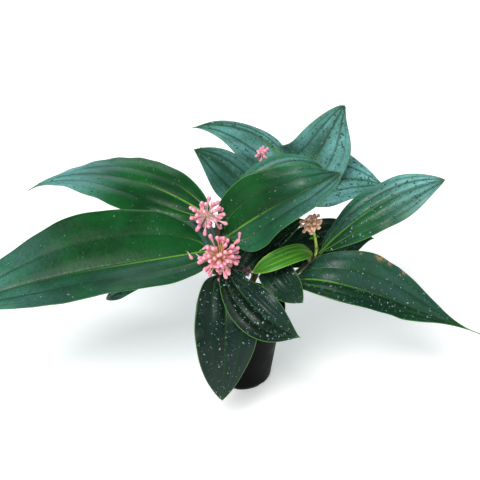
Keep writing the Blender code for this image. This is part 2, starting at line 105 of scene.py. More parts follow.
def gridFaces(rows, columns, start=0, wrapped=False):
    # quads of a grid of rows by columns, counted row by row from start
    across = columns if wrapped else columns - 1
    r, c = np.meshgrid(np.arange(rows - 1), np.arange(across), indexing="ij")
    right = (c + 1) % columns
    here, below = r * columns, (r + 1) * columns
    quads = np.stack([here + c, here + right, below + right, below + c], -1)
    return (quads.reshape(-1, 4) + start).tolist()


def tubeGrid(path, radii, sides):
    # rings square to the path, each turned as little as can be from the last: rows by sides by 3
    path = np.asarray(path, float)
    along = unitVector(np.gradient(path, axis=0))
    aside = unitVector(np.cross(along[0], (0.31, 0.52, 0.79)))
    turns = 2.0 * np.pi * np.arange(sides) / sides
    rings = []
    for point, way, radius in zip(path, along, np.broadcast_to(radii, len(path))):
        aside = unitVector(aside - way * (aside @ way))
        third = np.cross(way, aside)
        rings.append(point + radius * (np.cos(turns)[:, None] * aside + np.sin(turns)[:, None] * third))
    return np.array(rings)


def closedTube(path, radii, sides):
    # a tube with a flat cap on each end; gives its points and its faces
    rings = tubeGrid(path, radii, sides)
    faces = gridFaces(len(rings), sides, wrapped=True)
    faces.append(np.arange(sides)[::-1].tolist())
    faces.append((np.arange(sides) + (len(rings) - 1) * sides).tolist())
    return rings.reshape(-1, 3), faces


def joinParts(parts):
    # one list of points and one of faces; each part's faces count from its own first point
    starts = np.cumsum([0] + [len(points) for points, faces in parts])
    faces = [[i + int(start) for i in face] for (points, own), start in zip(parts, starts) for face in own]
    return np.concatenate([points for points, faces in parts]), faces


# materials: each is a tree of nodes built here, with plain numbers on the shader's own sockets

def newMaterial(name, rgb, roughness, **sockets):
    material = bpy.data.materials.new(name)
    material.use_nodes = True
    material.diffuse_color = (*rgb, 1.0)
    shader = material.node_tree.nodes["Principled BSDF"]
    shader.inputs["Base Color"].default_value = (*rgb, 1.0)
    shader.inputs["Roughness"].default_value = roughness
    for key, value in sockets.items():
        shader.inputs[key].default_value = value
    return material, material.node_tree, shader


def addNode(tree, kind, values=None, **settings):
    node = tree.nodes.new(kind)
    for key, value in settings.items():
        setattr(node, key, value)
    for key, value in (values or {}).items():
        if isinstance(value, bpy.types.NodeSocket):
            tree.links.new(value, node.inputs[key])
        else:
            node.inputs[key].default_value = value
    return node


def fieldValue(tree, name):
    return addNode(tree, "ShaderNodeAttribute", attribute_name=name).outputs["Fac"]


def rangeValue(tree, value, low, high, fromLow=0.0, fromHigh=1.0):
    # value from fromLow..fromHigh becomes low..high, smoothly, and stays between them
    return addNode(
        tree,
        "ShaderNodeMapRange",
        {"Value": value, "From Min": fromLow, "From Max": fromHigh, "To Min": low, "To Max": high},
        interpolation_type="SMOOTHSTEP",
    ).outputs["Result"]


def mathValue(tree, operation, first, second=0.0):
    return addNode(tree, "ShaderNodeMath", {0: first, 1: second}, operation=operation).outputs[0]


def mixColour(tree, share, first, second):
    node = addNode(tree, "ShaderNodeMix", {0: share}, data_type="RGBA")
    for slot, colour in ((6, first), (7, second)):
        if isinstance(colour, bpy.types.NodeSocket):
            tree.links.new(colour, node.inputs[slot])
        else:
            node.inputs[slot].default_value = (*colour, 1.0)
    return node.outputs[2]


def noiseValue(tree, scale, detail=3.0, stretch=(1.0, 1.0, 1.0), roughness=0.55):
    place = addNode(tree, "ShaderNodeTexCoord").outputs["Object"]
    turned = addNode(tree, "ShaderNodeMapping", {"Vector": place, "Scale": stretch}).outputs["Vector"]
    values = {"Vector": turned, "Scale": scale, "Detail": detail, "Roughness": roughness}
    return addNode(tree, "ShaderNodeTexNoise", values).outputs["Fac"]


def addBump(tree, shader, height, strength, distance):
    bump = addNode(tree, "ShaderNodeBump", {"Height": height, "Strength": strength, "Distance": distance})
    tree.links.new(bump.outputs["Normal"], shader.inputs["Normal"])


leafFinish = {
    "shade": (0.0030, 0.013, 0.0065),
    "deep": (0.0035, 0.052, 0.011),
    "fresh": (0.0060, 0.112, 0.018),
    "paintedSheen": (0.215, 0.560, 0.540),
    "vein": (0.15, 0.38, 0.045),
    "margin": (0.085, 0.26, 0.050),
    "creaseShade": (0.004, 0.036, 0.011),
    "under": (0.040, 0.130, 0.045),
    "scorch": (0.40, 0.24, 0.10),
    "roughness": 0.34,
}


def leafMaterial(name, finish):
    # deep green with a pale painted sheen that stands for the sky's reflection, painted shade on shaded
    # leaves and in the vein creases, light midrib and side veins near the base, a thin light margin and
    # scorch
    material, tree, shader = newMaterial(
        name, finish["fresh"], finish["roughness"], **{"Specular IOR Level": 0.22}
    )
    rib, nerve, edge = (fieldValue(tree, key) for key in ("rib", "nerve", "edge"))
    along, under, paintedSheen, scorch = (fieldValue(tree, key) for key in ("along", "under", "paintedSheen", "scorch"))
    patches = noiseValue(tree, 16.0, 4.0)
    speckle = noiseValue(tree, 260.0, 3.0)
    colour = mixColour(tree, rangeValue(tree, patches, 0.0, 1.0, 0.35, 0.68), finish["deep"], finish["fresh"])
    # painted shade: each leaf is darkened towards the shade colour by its own shade share
    colour = mixColour(tree, fieldValue(tree, "shade"), colour, finish["shade"])
    # painted sheen: a pale teal in speckled patches that stands for the sky's reflection on the glossy leaves
    paintedSheenShare = mathValue(tree, "MULTIPLY", paintedSheen, rangeValue(tree, speckle, 0.72, 1.0, 0.38, 0.62))
    colour = mixColour(tree, paintedSheenShare, colour, finish["paintedSheen"])
    # painted shade: darker bands along the sunk side veins, midrib and outer veins, where shade falls in
    # their creases
    colour = mixColour(tree, rangeValue(tree, nerve, 0.75, 0.0, 0.0, 0.0026), colour, finish["creaseShade"])
    colour = mixColour(tree, rangeValue(tree, rib, 0.70, 0.0, 0.0, 0.0030), colour, finish["creaseShade"])
    outer = fieldValue(tree, "outerNerve")
    colour = mixColour(tree, rangeValue(tree, outer, 0.45, 0.0, 0.0, 0.0018), colour, finish["creaseShade"])
    ribNear = rangeValue(tree, rib, 1.0, 0.0, 0.0006, 0.0017)
    ribShare = mathValue(tree, "MULTIPLY", ribNear, rangeValue(tree, along, 1.0, 0.10, 0.08, 0.55))
    nerveNear = rangeValue(tree, nerve, 0.8, 0.0, 0.0003, 0.0012)
    nerveShare = mathValue(tree, "MULTIPLY", nerveNear, rangeValue(tree, along, 0.9, 0.05, 0.06, 0.45))
    # leaves darkened by painted shade show their veins only faintly
    faint = rangeValue(tree, fieldValue(tree, "shade"), 1.0, 0.28, 0.5, 1.0)
    veinShare = mathValue(tree, "MULTIPLY", mathValue(tree, "MAXIMUM", ribShare, nerveShare), faint)
    colour = mixColour(tree, veinShare, colour, finish["vein"])
    colour = mixColour(tree, rangeValue(tree, edge, 0.9, 0.0, 0.0004, 0.0013), colour, finish["margin"])
    spots = rangeValue(tree, noiseValue(tree, 120.0, 4.0), 0.0, 1.0, 0.44, 0.56)
    burnt = mathValue(tree, "MULTIPLY", scorch, spots)
    colour = mixColour(tree, burnt, colour, finish["scorch"])
    colour = mixColour(tree, under, colour, finish["under"])
    tree.links.new(colour, shader.inputs["Base Color"])
    sheen = rangeValue(tree, speckle, finish["roughness"] - 0.06, finish["roughness"] + 0.14, 0.3, 0.7)
    tree.links.new(sheen, shader.inputs["Roughness"])
    # fine veins that run across between the long ones, and the grain of the skin
    rung = addNode(tree, "ShaderNodeCombineXYZ", {0: fieldValue(tree, "ladder")}).outputs[0]
    crossing = addNode(
        tree, "ShaderNodeTexWave", {"Vector": rung, "Scale": 55.0, "Distortion": 3.0, "Detail": 2.0}
    ).outputs["Fac"]
    rungs, grain = mathValue(tree, "MULTIPLY", crossing, 0.16), mathValue(tree, "MULTIPLY", speckle, 0.6)
    relief = mathValue(tree, "ADD", rungs, grain)
    addBump(tree, shader, relief, 0.35, 0.0004)
    return material


leafGreen = leafMaterial("leafGreen", leafFinish)
youngGreen = leafMaterial(
    "youngGreen",
    {
        **leafFinish,
        "shade": (0.020, 0.070, 0.010),
        "deep": (0.045, 0.235, 0.012),
        "fresh": (0.090, 0.360, 0.022),
        "paintedSheen": (0.10, 0.26, 0.09),
        "vein": (0.30, 0.50, 0.06),
        "margin": (0.25, 0.45, 0.06),
        "creaseShade": (0.022, 0.11, 0.010),
        "under": (0.10, 0.24, 0.05),
    },
)

stemFinish = {"bark": (0.105, 0.070, 0.035), "green": (0.100, 0.150, 0.030), "roughness": 0.62}
stemBark, tree, shader = newMaterial("stemBark", stemFinish["bark"], stemFinish["roughness"])
barkStreaks = noiseValue(tree, 60.0, 4.0, (1.0, 1.0, 0.25))
barkShare = rangeValue(tree, barkStreaks, 0.0, 1.0, 0.40, 0.66)
barkColour = mixColour(tree, barkShare, stemFinish["bark"], stemFinish["green"])
tree.links.new(barkColour, shader.inputs["Base Color"])
addBump(tree, shader, barkStreaks, 0.5, 0.0005)

budFinish = {
    "pedicel": (0.82, 0.55, 0.48), "neck": (0.96, 0.64, 0.64),
    "body": (0.97, 0.31, 0.45), "tip": (1.0, 0.58, 0.65),
}


def budMaterial(name, finish):
    # pale stalk, then pink that deepens along the bud and fades again at its tip, by the field budAlong
    coat = {"Coat Weight": 0.2, "Coat Roughness": 0.3}
    material, tree, shader = newMaterial(name, finish["body"], 0.38, **coat)
    budAlong = fieldValue(tree, "budAlong")
    stalkEnd = rangeValue(tree, budAlong, 0.0, 1.0, 0.30, 0.50)
    colour = mixColour(tree, stalkEnd, finish["pedicel"], finish["neck"])
    colour = mixColour(tree, rangeValue(tree, budAlong, 0.0, 1.0, 0.52, 0.72), colour, finish["body"])
    colour = mixColour(tree, rangeValue(tree, budAlong, 0.0, 1.0, 0.86, 1.0), colour, finish["tip"])
    shade = rangeValue(tree, noiseValue(tree, 90.0, 2.0), 0.0, 0.35, 0.45, 0.75)
    tree.links.new(mixColour(tree, shade, colour, finish["neck"]), shader.inputs["Base Color"])
    addBump(tree, shader, noiseValue(tree, 700.0, 2.0), 0.15, 0.0002)
    return material


pinkBud = budMaterial("pinkBud", budFinish)
frontBud = budMaterial("frontBud", {**budFinish, "pedicel": (0.66, 0.42, 0.13), "neck": (0.90, 0.52, 0.42)})
peachFinish = {
    "pedicel": (0.52, 0.66, 0.08), "neck": (1.0, 0.66, 0.26),
    "body": (1.0, 0.57, 0.40), "tip": (1.0, 0.78, 0.62),
}
peachBud = budMaterial("peachBud", peachFinish)
spentFinish = {
    "pedicel": (0.12, 0.07, 0.06), "neck": (0.14, 0.07, 0.08),
    "body": (0.13, 0.06, 0.09), "tip": (0.25, 0.13, 0.16),
}
spentBud = budMaterial("spentBud", spentFinish)

potFinish = {"black": (0.0024, 0.0026, 0.0028), "worn": (0.0065, 0.0065, 0.0070), "roughness": 0.42}
potPlastic, tree, shader = newMaterial(
    "potPlastic", potFinish["black"], potFinish["roughness"], **{"Specular IOR Level": 0.05}
)
scuffs = noiseValue(tree, 45.0, 5.0)
tree.links.new(
    mixColour(tree, rangeValue(tree, scuffs, 0.0, 1.0, 0.45, 0.80), potFinish["black"], potFinish["worn"]),
    shader.inputs["Base Color"],
)
tree.links.new(rangeValue(tree, scuffs, 0.34, 0.55, 0.3, 0.7), shader.inputs["Roughness"])
addBump(tree, shader, noiseValue(tree, 900.0, 2.0), 0.12, 0.0002)

soilFinish = {"dark": (0.016, 0.010, 0.006), "light": (0.075, 0.048, 0.028)}
pottingPeat, tree, shader = newMaterial("pottingPeat", soilFinish["dark"], 0.93)
crumbs = noiseValue(tree, 420.0, 6.0, roughness=0.7)
tree.links.new(
    mixColour(tree, rangeValue(tree, crumbs, 0.0, 1.0, 0.42, 0.66), soilFinish["dark"], soilFinish["light"]),
    shader.inputs["Base Color"],
)
addBump(tree, shader, crumbs, 0.9, 0.0015)

waterFinish = {"dark": (0.070, 0.180, 0.155), "glintColour": (0.42, 0.58, 0.56), "roughness": 0.03}
waterClear, tree, shader = newMaterial(
    "waterClear", waterFinish["dark"], waterFinish["roughness"],
    **{"IOR": 1.33, "Specular IOR Level": 1.0, "Alpha": 0.50},
)
# painted glints: where the noise runs high the drops are coloured pale, as if they caught the light; the dark
# green elsewhere is painted too, so that the clear drops show as darker dots
glints = rangeValue(tree, noiseValue(tree, 260.0, 1.0), 0.0, 1.0, 0.55, 0.66)
tree.links.new(mixColour(tree, glints, waterFinish["dark"], waterFinish["glintColour"]), shader.inputs["Base Color"])
print("materials made")

# stems, leaves and sprays: the same routes, widths and angles as the solids have, read here on finer grids

stems = {
    "left": {
        "route": [(-0.017, -0.008, 0.058), (-0.020, -0.012, 0.122),
                  (-0.026, -0.024, 0.192), (-0.029, 0.000, 0.238)],
        "radii": (0.0048, 0.0030),
    },
    "back": {
        "route": [(0.001, 0.022, 0.058), (0.019, 0.038, 0.132),
                  (0.047, 0.054, 0.197), (0.061, 0.066, 0.258)],
        "radii": (0.0048, 0.0030),
    },
    "right": {
        "route": [(0.015, 0.002, 0.058), (0.029, 0.005, 0.107),
                  (0.063, 0.010, 0.144), (0.097, 0.015, 0.175)],
        "radii": (0.0044, 0.0028),
    },
}

stemLook = {"sides": 20, "steps": 120, "stub": 0.0044, "nodeEvery": 0.17, "nodeSwell": 0.0007}
leafBuild = {
    "petioleLength": 0.0070,
    "petioleHalfWidth": 0.0024,
    "petioleThickness": 0.0042,
    "bladeThickness": 0.0010,
    "tipHalfWidth": 0.0005,
    "veinAt": 0.46,
    "outerVein": 0.76,
    "rows": 78,
    "columns": 45,
}

leaves = {
    "leaf_left_long": {
        "stem": "left", "at": 0.80, "halves": (0.082, 0.062), "belly": 0.39, "point": 1.2,
        "route": [(-0.108, -0.045, 0.205), (-0.212, -0.058, 0.191), (-0.359, -0.096, 0.161)],
        "faces": ((0.02, -0.50, 0.86), (-0.01, -0.46, 0.89)),
        "folds": (5, 32), "curl": -0.05, "wave": 0.0025, "waves": 2.5,
        "wet": 0.28, "paintedSheen": (0.0, 0.06), "tipPaintedSheen": 0.34, "shade": 0.2,
    },
    "leaf_left_upper": {
        "stem": "left", "at": 0.98, "halves": (0.049, 0.057), "belly": 0.54, "point": 1.27,
        "route": [(-0.124, 0.066, 0.253), (-0.178, 0.080, 0.259), (-0.278, 0.080, 0.236)],
        "faces": ((-0.23, -0.74, 0.63), (-0.16, 0.18, 0.97)),
        "folds": (-8, 16), "curl": -0.12, "wave": 0.002, "waves": 2.0,
        "wet": 0.3, "paintedSheen": (0.0, 0.0), "tipPaintedSheen": 1.0, "shade": 0.0,
    },
    "leaf_centre": {
        "stem": "left", "at": 0.84, "halves": (0.041, 0.048), "belly": 0.30, "point": 0.72,
        "route": [(0.018, -0.013, 0.246), (0.068, -0.026, 0.285), (0.120, 0.006, 0.298)],
        "faces": ((0.20, -0.82, 0.53), (-0.15, -0.48, 0.87)),
        "folds": (21, 17), "curl": 0.11, "wave": 0.003, "waves": 2.5,
        "wet": 0.75, "paintedSheen": (0.10, 0.0), "tipPaintedSheen": 0.26, "shade": 0.05,
    },
    "leaf_centre_behind": {
        "stem": "left", "at": 0.96, "halves": (0.028, 0.027), "belly": 0.48, "point": 0.99,
        "route": [(0.013, 0.022, 0.263), (0.053, 0.033, 0.288), (0.103, 0.042, 0.287)],
        "faces": ((-0.11, -0.53, 0.84), (0.10, -0.48, 0.87)),
        "folds": (6, 5), "curl": -0.10, "wave": 0.002, "waves": 2.0,
        "wet": 1.1, "paintedSheen": (0.15, 0.35), "shade": 0.0,
    },
    "leaf_back_left_low": {
        "stem": "back", "at": 0.80, "halves": (0.024, 0.034), "belly": 0.5, "point": 0.9,
        "route": [(0.012, 0.052, 0.251), (-0.021, 0.050, 0.284), (-0.058, 0.046, 0.310)],
        "faces": ((-0.20, -0.80, 0.55), (-0.10, -0.60, 0.80)),
        "folds": (6, 6), "curl": -0.05, "wave": 0.002, "waves": 1.5,
        "wet": 1.0, "paintedSheen": (0.40, 0.35), "shade": 0.3,
    },
    "leaf_back_left_top": {
        "stem": "back", "at": 0.97, "halves": (0.014, 0.04), "belly": 0.45, "point": 1.3,
        "route": [(0.043, 0.106, 0.284), (-0.001, 0.104, 0.313), (-0.062, 0.092, 0.319)],
        "faces": ((-0.33, -0.65, 0.69), (-0.01, -0.41, 0.91)),
        "folds": (-6, -10), "curl": -0.15, "wave": 0.002, "waves": 1.5,
        "wet": 1.5, "paintedSheen": (1.0, 0.9), "shade": 0.0,
    },
    "leaf_back_top": {
        "stem": "back", "at": 0.98, "halves": (0.044, 0.052), "belly": 0.24, "point": 0.75,
        "route": [(0.087, 0.074, 0.275), (0.114, 0.068, 0.329), (0.130, 0.080, 0.354)],
        "faces": ((-0.08, -0.98, 0.20), (0.42, -0.90, 0.12)),
        "folds": (4, 16), "curl": 0.03, "wave": 0.003, "waves": 2.0,
        "wet": 1.7, "paintedSheen": (0.75, 0.60), "shade": 0.0,
    },
    "leaf_back_right": {
        "stem": "back", "at": 0.80, "halves": (0.041, 0.045), "belly": 0.45, "point": 1.34,
        "route": [(0.099, 0.079, 0.245), (0.145, 0.085, 0.250), (0.190, 0.092, 0.236)],
        "faces": ((0.00, -0.51, 0.86), (0.11, -0.45, 0.89)),
        "folds": (10, 12), "curl": -0.02, "wave": 0.002, "waves": 2.0,
        "wet": 1.6, "paintedSheen": (0.85, 0.95), "shade": 0.1,
    },
    "leaf_right_upper": {
        "stem": "right", "at": 0.98, "halves": (0.033, 0.029), "belly": 0.55, "point": 0.8,
        "route": [(0.137, 0.014, 0.221), (0.196, 0.024, 0.258), (0.253, 0.028, 0.277)],
        "faces": ((-0.20, -0.60, 0.75), (0.00, -0.55, 0.80)),
        "folds": (2, -4), "curl": -0.1, "wave": 0.002, "waves": 2.5,
        "wet": 1.5, "paintedSheen": (0.05, 0.22), "tipPaintedSheen": 0.68, "shade": 0.0,
    },
    "leaf_right_lower": {
        "stem": "right", "at": 0.64, "halves": (0.029, 0.047), "belly": 0.42, "point": 2.19,
        "route": [(0.099, -0.032, 0.168), (0.176, -0.038, 0.148), (0.300, -0.058, 0.105)],
        "faces": ((0.09, -0.45, 0.89), (0.10, -0.50, 0.86)),
        "folds": (9, 18), "curl": 0.04, "wave": 0.003, "waves": 2.5,
        "wet": 1.5, "paintedSheen": (0.02, 0.10), "shade": 0.6,
        "scorch": [
            (0.36, -1.0, 0.006), (0.45, -1.0, 0.009), (0.50, -1.0, 0.007), (0.58, -0.99, 0.006),
            (0.40, 0.20, 0.003),
        ],
    },
    "leaf_right_back": {
        "stem": "back", "at": 0.42, "halves": (0.034, 0.034), "belly": 0.55, "point": 1.17,
        "route": [(0.069, 0.036, 0.168), (0.125, 0.057, 0.176), (0.179, 0.078, 0.164)],
        "faces": ((0.00, -0.60, 0.80), (0.00, -0.60, 0.80)),
        "folds": (4, 4), "curl": -0.1, "wave": 0.002, "waves": 2.0,
        "paintedSheen": (0.05, 0.05), "shade": 0.8,
    },
    "leaf_young_left": {
        "stem": "right", "at": 0.92, "halves": (0.012, 0.015), "belly": 0.55, "point": 0.7,
        "route": [(0.073, -0.022, 0.204), (0.048, -0.040, 0.205), (0.014, -0.044, 0.187)],
        "faces": ((0.01, -0.62, 0.79), (-0.44, -0.60, 0.67)),
        "folds": (15, 5), "curl": 0.03, "wave": 0.0015, "waves": 1.5,
        "wet": 0.3, "paintedSheen": (0.05, 0.05), "shade": 0.1, "young": True,
    },
    "leaf_right_front": {
        "stem": "right", "at": 0.52, "halves": (0.027, 0.017), "belly": 0.62, "point": 0.90,
        "route": [(0.043, -0.026, 0.182), (0.062, -0.048, 0.167), (0.077, -0.050, 0.146)],
        "faces": ((-0.06, -0.60, 0.80), (-0.12, -0.86, 0.50)),
        "folds": (8, 10), "curl": -0.05, "wave": 0.001, "waves": 1.5,
        "paintedSheen": (0.04, 0.04), "shade": 0.9,
    },
    "leaf_front_low": {
        "stem": "left", "at": 0.68, "halves": (0.039, 0.039), "belly": 0.40, "point": 0.86,
        "route": [(-0.019, -0.069, 0.166), (-0.019, -0.102, 0.109), (-0.023, -0.105, 0.037)],
        "faces": ((0.15, -0.58, 0.80), (0.26, -0.95, 0.17)),
        "folds": (9, 9), "curl": -0.08, "wave": 0.002, "waves": 2.0,
        "wet": 1.1, "paintedSheen": (0.02, 0.03), "shade": 1.0,
    },
    "leaf_front_right": {
        "stem": "left", "at": 0.74, "halves": (0.032, 0.026), "belly": 0.52, "point": 1.29,
        "route": [(0.006, -0.075, 0.170), (0.032, -0.097, 0.155), (0.072, -0.098, 0.128)],
        "faces": ((0.21, -0.56, 0.80), (-0.13, -0.87, 0.47)),
        "folds": (13, 11), "curl": -0.06, "wave": 0.002, "waves": 2.0,
        "wet": 2.2, "paintedSheen": (0.0, 0.04), "shade": 1.0,
    },
    "leaf_back_away": {
        "stem": "back", "at": 0.62, "halves": (0.040, 0.040), "belly": 0.5, "point": 1.20,
        "route": [(0.053, 0.105, 0.224), (0.051, 0.160, 0.212), (0.045, 0.218, 0.168)],
        "faces": ((0.05, 0.10, 0.99), (0.05, 0.45, 0.89)),
        "folds": (8, 8), "curl": -0.10, "wave": 0.002, "waves": 2.0,
        "paintedSheen": (0.30, 0.30), "shade": 0.1,
    },
    "leaf_left_away": {
        "stem": "left", "at": 0.56, "halves": (0.036, 0.036), "belly": 0.45, "point": 1.20,
        "route": [(-0.060, 0.036, 0.186), (-0.097, 0.094, 0.186), (-0.139, 0.150, 0.152)],
        "faces": ((-0.10, 0.00, 0.99), (-0.40, 0.40, 0.82)),
        "folds": (6, 6), "curl": -0.10, "wave": 0.002, "waves": 2.0,
        "paintedSheen": (0.30, 0.30), "shade": 0.1,
    },
    "leaf_inner_left": {
        "stem": "back", "at": 0.42, "halves": (0.036, 0.034), "belly": 0.44, "point": 1.20,
        "route": [(0.003, 0.050, 0.162), (-0.029, 0.054, 0.156), (-0.067, 0.062, 0.138)],
        "faces": ((0.00, -0.70, 0.70), (0.00, -0.70, 0.70)),
        "folds": (6, 6), "curl": -0.10, "wave": 0.002, "waves": 2.0,
        "paintedSheen": (0.02, 0.02), "shade": 0.9,
    },
    "leaf_inner_right": {
        "stem": "left", "at": 0.42, "halves": (0.01, 0.04), "belly": 0.50, "point": 0.90,
        "route": [(0.005, 0.000, 0.162), (0.040, 0.014, 0.192), (0.080, 0.022, 0.224)],
        "faces": ((-0.10, -0.75, 0.65), (-0.10, -0.75, 0.65)),
        "folds": (6, 6), "curl": -0.05, "wave": 0.002, "waves": 2.0,
        "paintedSheen": (0.02, 0.02), "shade": 0.9,
    },
    "leaf_left_under": {
        "stem": "left", "at": 0.62, "halves": (0.028, 0.025), "belly": 0.49, "point": 0.60,
        "route": [(-0.097, -0.021, 0.196), (-0.132, -0.040, 0.181), (-0.168, -0.034, 0.145)],
        "faces": ((0.00, -0.30, 0.95), (0.02, -0.50, 0.86)),
        "folds": (8, 13), "curl": -0.01, "wave": 0.002, "waves": 2.0,
        "paintedSheen": (0.45, 0.45), "shade": 0.1,
    },
}

sprays = {
    "spray_left": {
        "stem": "left", "at": 0.97, "stalk": 0.0013, "count": 30, "extra": 10,
        "reach": (0.015, 0.027), "seed": 11,
        "route": [(-0.036, -0.016, 0.254), (-0.040, -0.030, 0.259)], "bud": (0.0100, 0.0026),
    },
    "spray_front": {
        "stem": "left", "at": 0.82, "stalk": 0.0016, "count": 46, "extra": 30,
        "reach": (0.018, 0.032), "seed": 23,
        "route": [(-0.024, -0.044, 0.221), (-0.025, -0.058, 0.218)], "bud": (0.0100, 0.0026),
    },
    "spray_right": {
        "stem": "right", "at": 0.98, "stalk": 0.0018, "count": 28, "extra": 36,
        "reach": (0.009, 0.016), "seed": 5,
        "route": [(0.094, -0.004, 0.202), (0.087, -0.008, 0.234)], "bud": (0.0065, 0.0023),
    },
    "spray_back": {
        "stem": "back", "at": 0.99, "stalk": 0.0013, "count": 12, "extra": 10,
        "reach": (0.008, 0.014), "seed": 7,
        "route": [(0.038, 0.078, 0.278), (0.027, 0.077, 0.289)], "bud": (0.0070, 0.0022),
    },
}


def stemRadius(name, share):
    # a straight taper from the soil to the tip
    thick, thin = stems[name]["radii"]
    return thick + (thin - thick) * share


def outgrowthRoute(stem, at, route):
    # the route of what grows from a stem, from just outside its side; also the stem's middle there
    middle = smoothRoute(stems[stem]["route"], [at])[0]
    start = middle + unitVector(np.array(route[0]) - middle) * (stemRadius(stem, at) + stemLook["stub"])
    return middle, [start, *route]


def leafLength(leaf):
    # the midrib's length: the sum of 59 short chords
    route = outgrowthRoute(leaf["stem"], leaf["at"], leaf["route"])[1]
    return np.linalg.norm(np.diff(smoothRoute(route, np.linspace(0, 1, 60)), axis=0), axis=1).sum()


def bladeFullness(leaf, share):
    # a sine that bulges at the belly, raised to a power that grows from 0.55 to the point's own value
    petiole = leafBuild["petioleLength"] / leafLength(leaf)
    along = np.clip((share - petiole) / (1.0 - petiole), 0.0, 1.0)
    stretch = math.log(0.5) / math.log(leaf["belly"])
    sharpness = 0.55 + (leaf["point"] - 0.55) * along
    return np.sin(np.pi * along**stretch).clip(0.0) ** sharpness


def leafFrame(leaf, shares):
    # the midrib's points at shares of its length, with the ways across and up from the leaf there
    route = outgrowthRoute(leaf["stem"], leaf["at"], leaf["route"])[1]
    ahead = smoothRoute(route, np.clip(shares + 0.01, 0, 1))
    along = unitVector(ahead - smoothRoute(route, np.clip(shares - 0.01, 0, 1)))
    first, last = (unitVector(way) for way in leaf["faces"])
    up = first + (last - first) * shares[:, None]
    up = unitVector(up - (up * along).sum(axis=1, keepdims=True) * along)
    return smoothRoute(route, shares), np.cross(along, up), up


def bladeSurface(leaf, shares, across):
    # the upper side: two halves that rise by their fold, curl and wave to the margin, with grooves along the
    # veins, shallow quilting between the cross veins and a soft unevenness that differs from leaf to leaf
    across = across[None, :]
    midrib, side, up = leafFrame(leaf, shares)
    grown = bladeFullness(leaf, shares)[:, None]
    low, high = leafBuild["tipHalfWidth"], leafBuild["petioleHalfWidth"]
    narrowest = low + (high - low) * (1.0 - shares[:, None]) ** 2
    half = np.maximum(grown * np.where(across > 0, *leaf["halves"]), narrowest)
    fold = np.radians(np.where(across > 0, *leaf["folds"])) * grown
    reach = half * across * np.cos(fold)
    ripple = np.sin(2 * np.pi * leaf["waves"] * shares[:, None] + np.where(across > 0, 0.0, 1.9))
    inner = np.abs(across) < 2 * leafBuild["veinAt"]
    quilt = 0.0012 * grown * (1 - np.cos(2 * np.pi * np.abs(across) / leafBuild["veinAt"])) / 2 * inner
    rise = half * np.abs(across) * np.sin(fold) + half * leaf["curl"] * across**2 * grown
    rise = rise + leaf["wave"] * ripple * across**2 * grown + quilt
    # what the solid leaves out: a sharp crease at each vein, and ladders of cross veins between them
    fromRib, fromNerve = half * np.abs(across), half * np.abs(np.abs(across) - leafBuild["veinAt"])
    outer = half * np.abs(np.abs(across) - leafBuild["outerVein"])
    crease = 0.0008 * np.exp(-((fromRib / 0.0017) ** 2)) + 0.0006 * np.exp(-((fromNerve / 0.0014) ** 2))
    crease = crease + 0.0004 * np.exp(-((outer / 0.0014) ** 2)) * (half > 0.012)
    slant = shares[:, None] * leafLength(leaf) - 0.32 * fromRib
    ladder = 0.00002 * np.sin(2 * np.pi * slant / 0.0085) * grown * np.minimum(1.0, fromRib / 0.004)
    rise = rise - crease * np.minimum(1.0, grown * 3.0) + ladder
    places = midrib[:, None, :] + side[:, None, :] * reach[..., None] + up[:, None, :] * rise[..., None]
    uneven = 0.0018 * wavyField(leaf["seed"], places, 0.045) * grown * across**2
    places = places + up[:, None, :] * uneven[..., None]
    return places, up, half, slant


def leafFields(leaf, shares, across, half, slant, length):
    # numbers for the material: metres from the midrib, the side veins and the margin, the painted shade and
    # painted sheen, and the scorch on the leaf
    paintedSheenRight, paintedSheenLeft = leaf["paintedSheen"]
    sidePaintedSheen = np.where(across[None, :] > 0, paintedSheenRight, paintedSheenLeft)
    flat = np.stack([shares[:, None] * length * 0.4 + 0 * half, half * across, 0 * half], -1)
    drift = wavyField(leaf["seed"] + 40, flat, 0.03)
    fadeIn = eased(0.0, 0.30, np.abs(across))[None, :] * 0.3 + 0.7
    tipPaintedSheenShare = leaf.get("tipPaintedSheen", 0.0) * eased(0.45, 0.95, shares)[:, None]
    scorch = np.zeros_like(half)
    for at, place, size in leaf.get("scorch", ()):
        away = np.hypot((shares[:, None] - at) * length, (across[None, :] - place) * half)
        scorch = np.maximum(scorch, 1.0 - eased(0.3 * size, size, away))
    return {
        "rib": half * np.abs(across),
        "nerve": half * np.abs(np.abs(across) - leafBuild["veinAt"]),
        "outerNerve": half * np.abs(np.abs(across) - leafBuild["outerVein"]),
        "edge": np.minimum(half * (1.0 - np.abs(across)), (1.0 - shares[:, None]) * length * 0.5 + 0 * half),
        "along": shares[:, None] + 0 * half,
        "shade": np.full_like(half, leaf.get("shade", 0.0)),
        "paintedSheen": np.clip((sidePaintedSheen + tipPaintedSheenShare) * (0.85 + 0.30 * drift) * fadeIn, 0.0, 1.0),
        "scorch": scorch,
        "ladder": slant,
    }


leafTops = {}


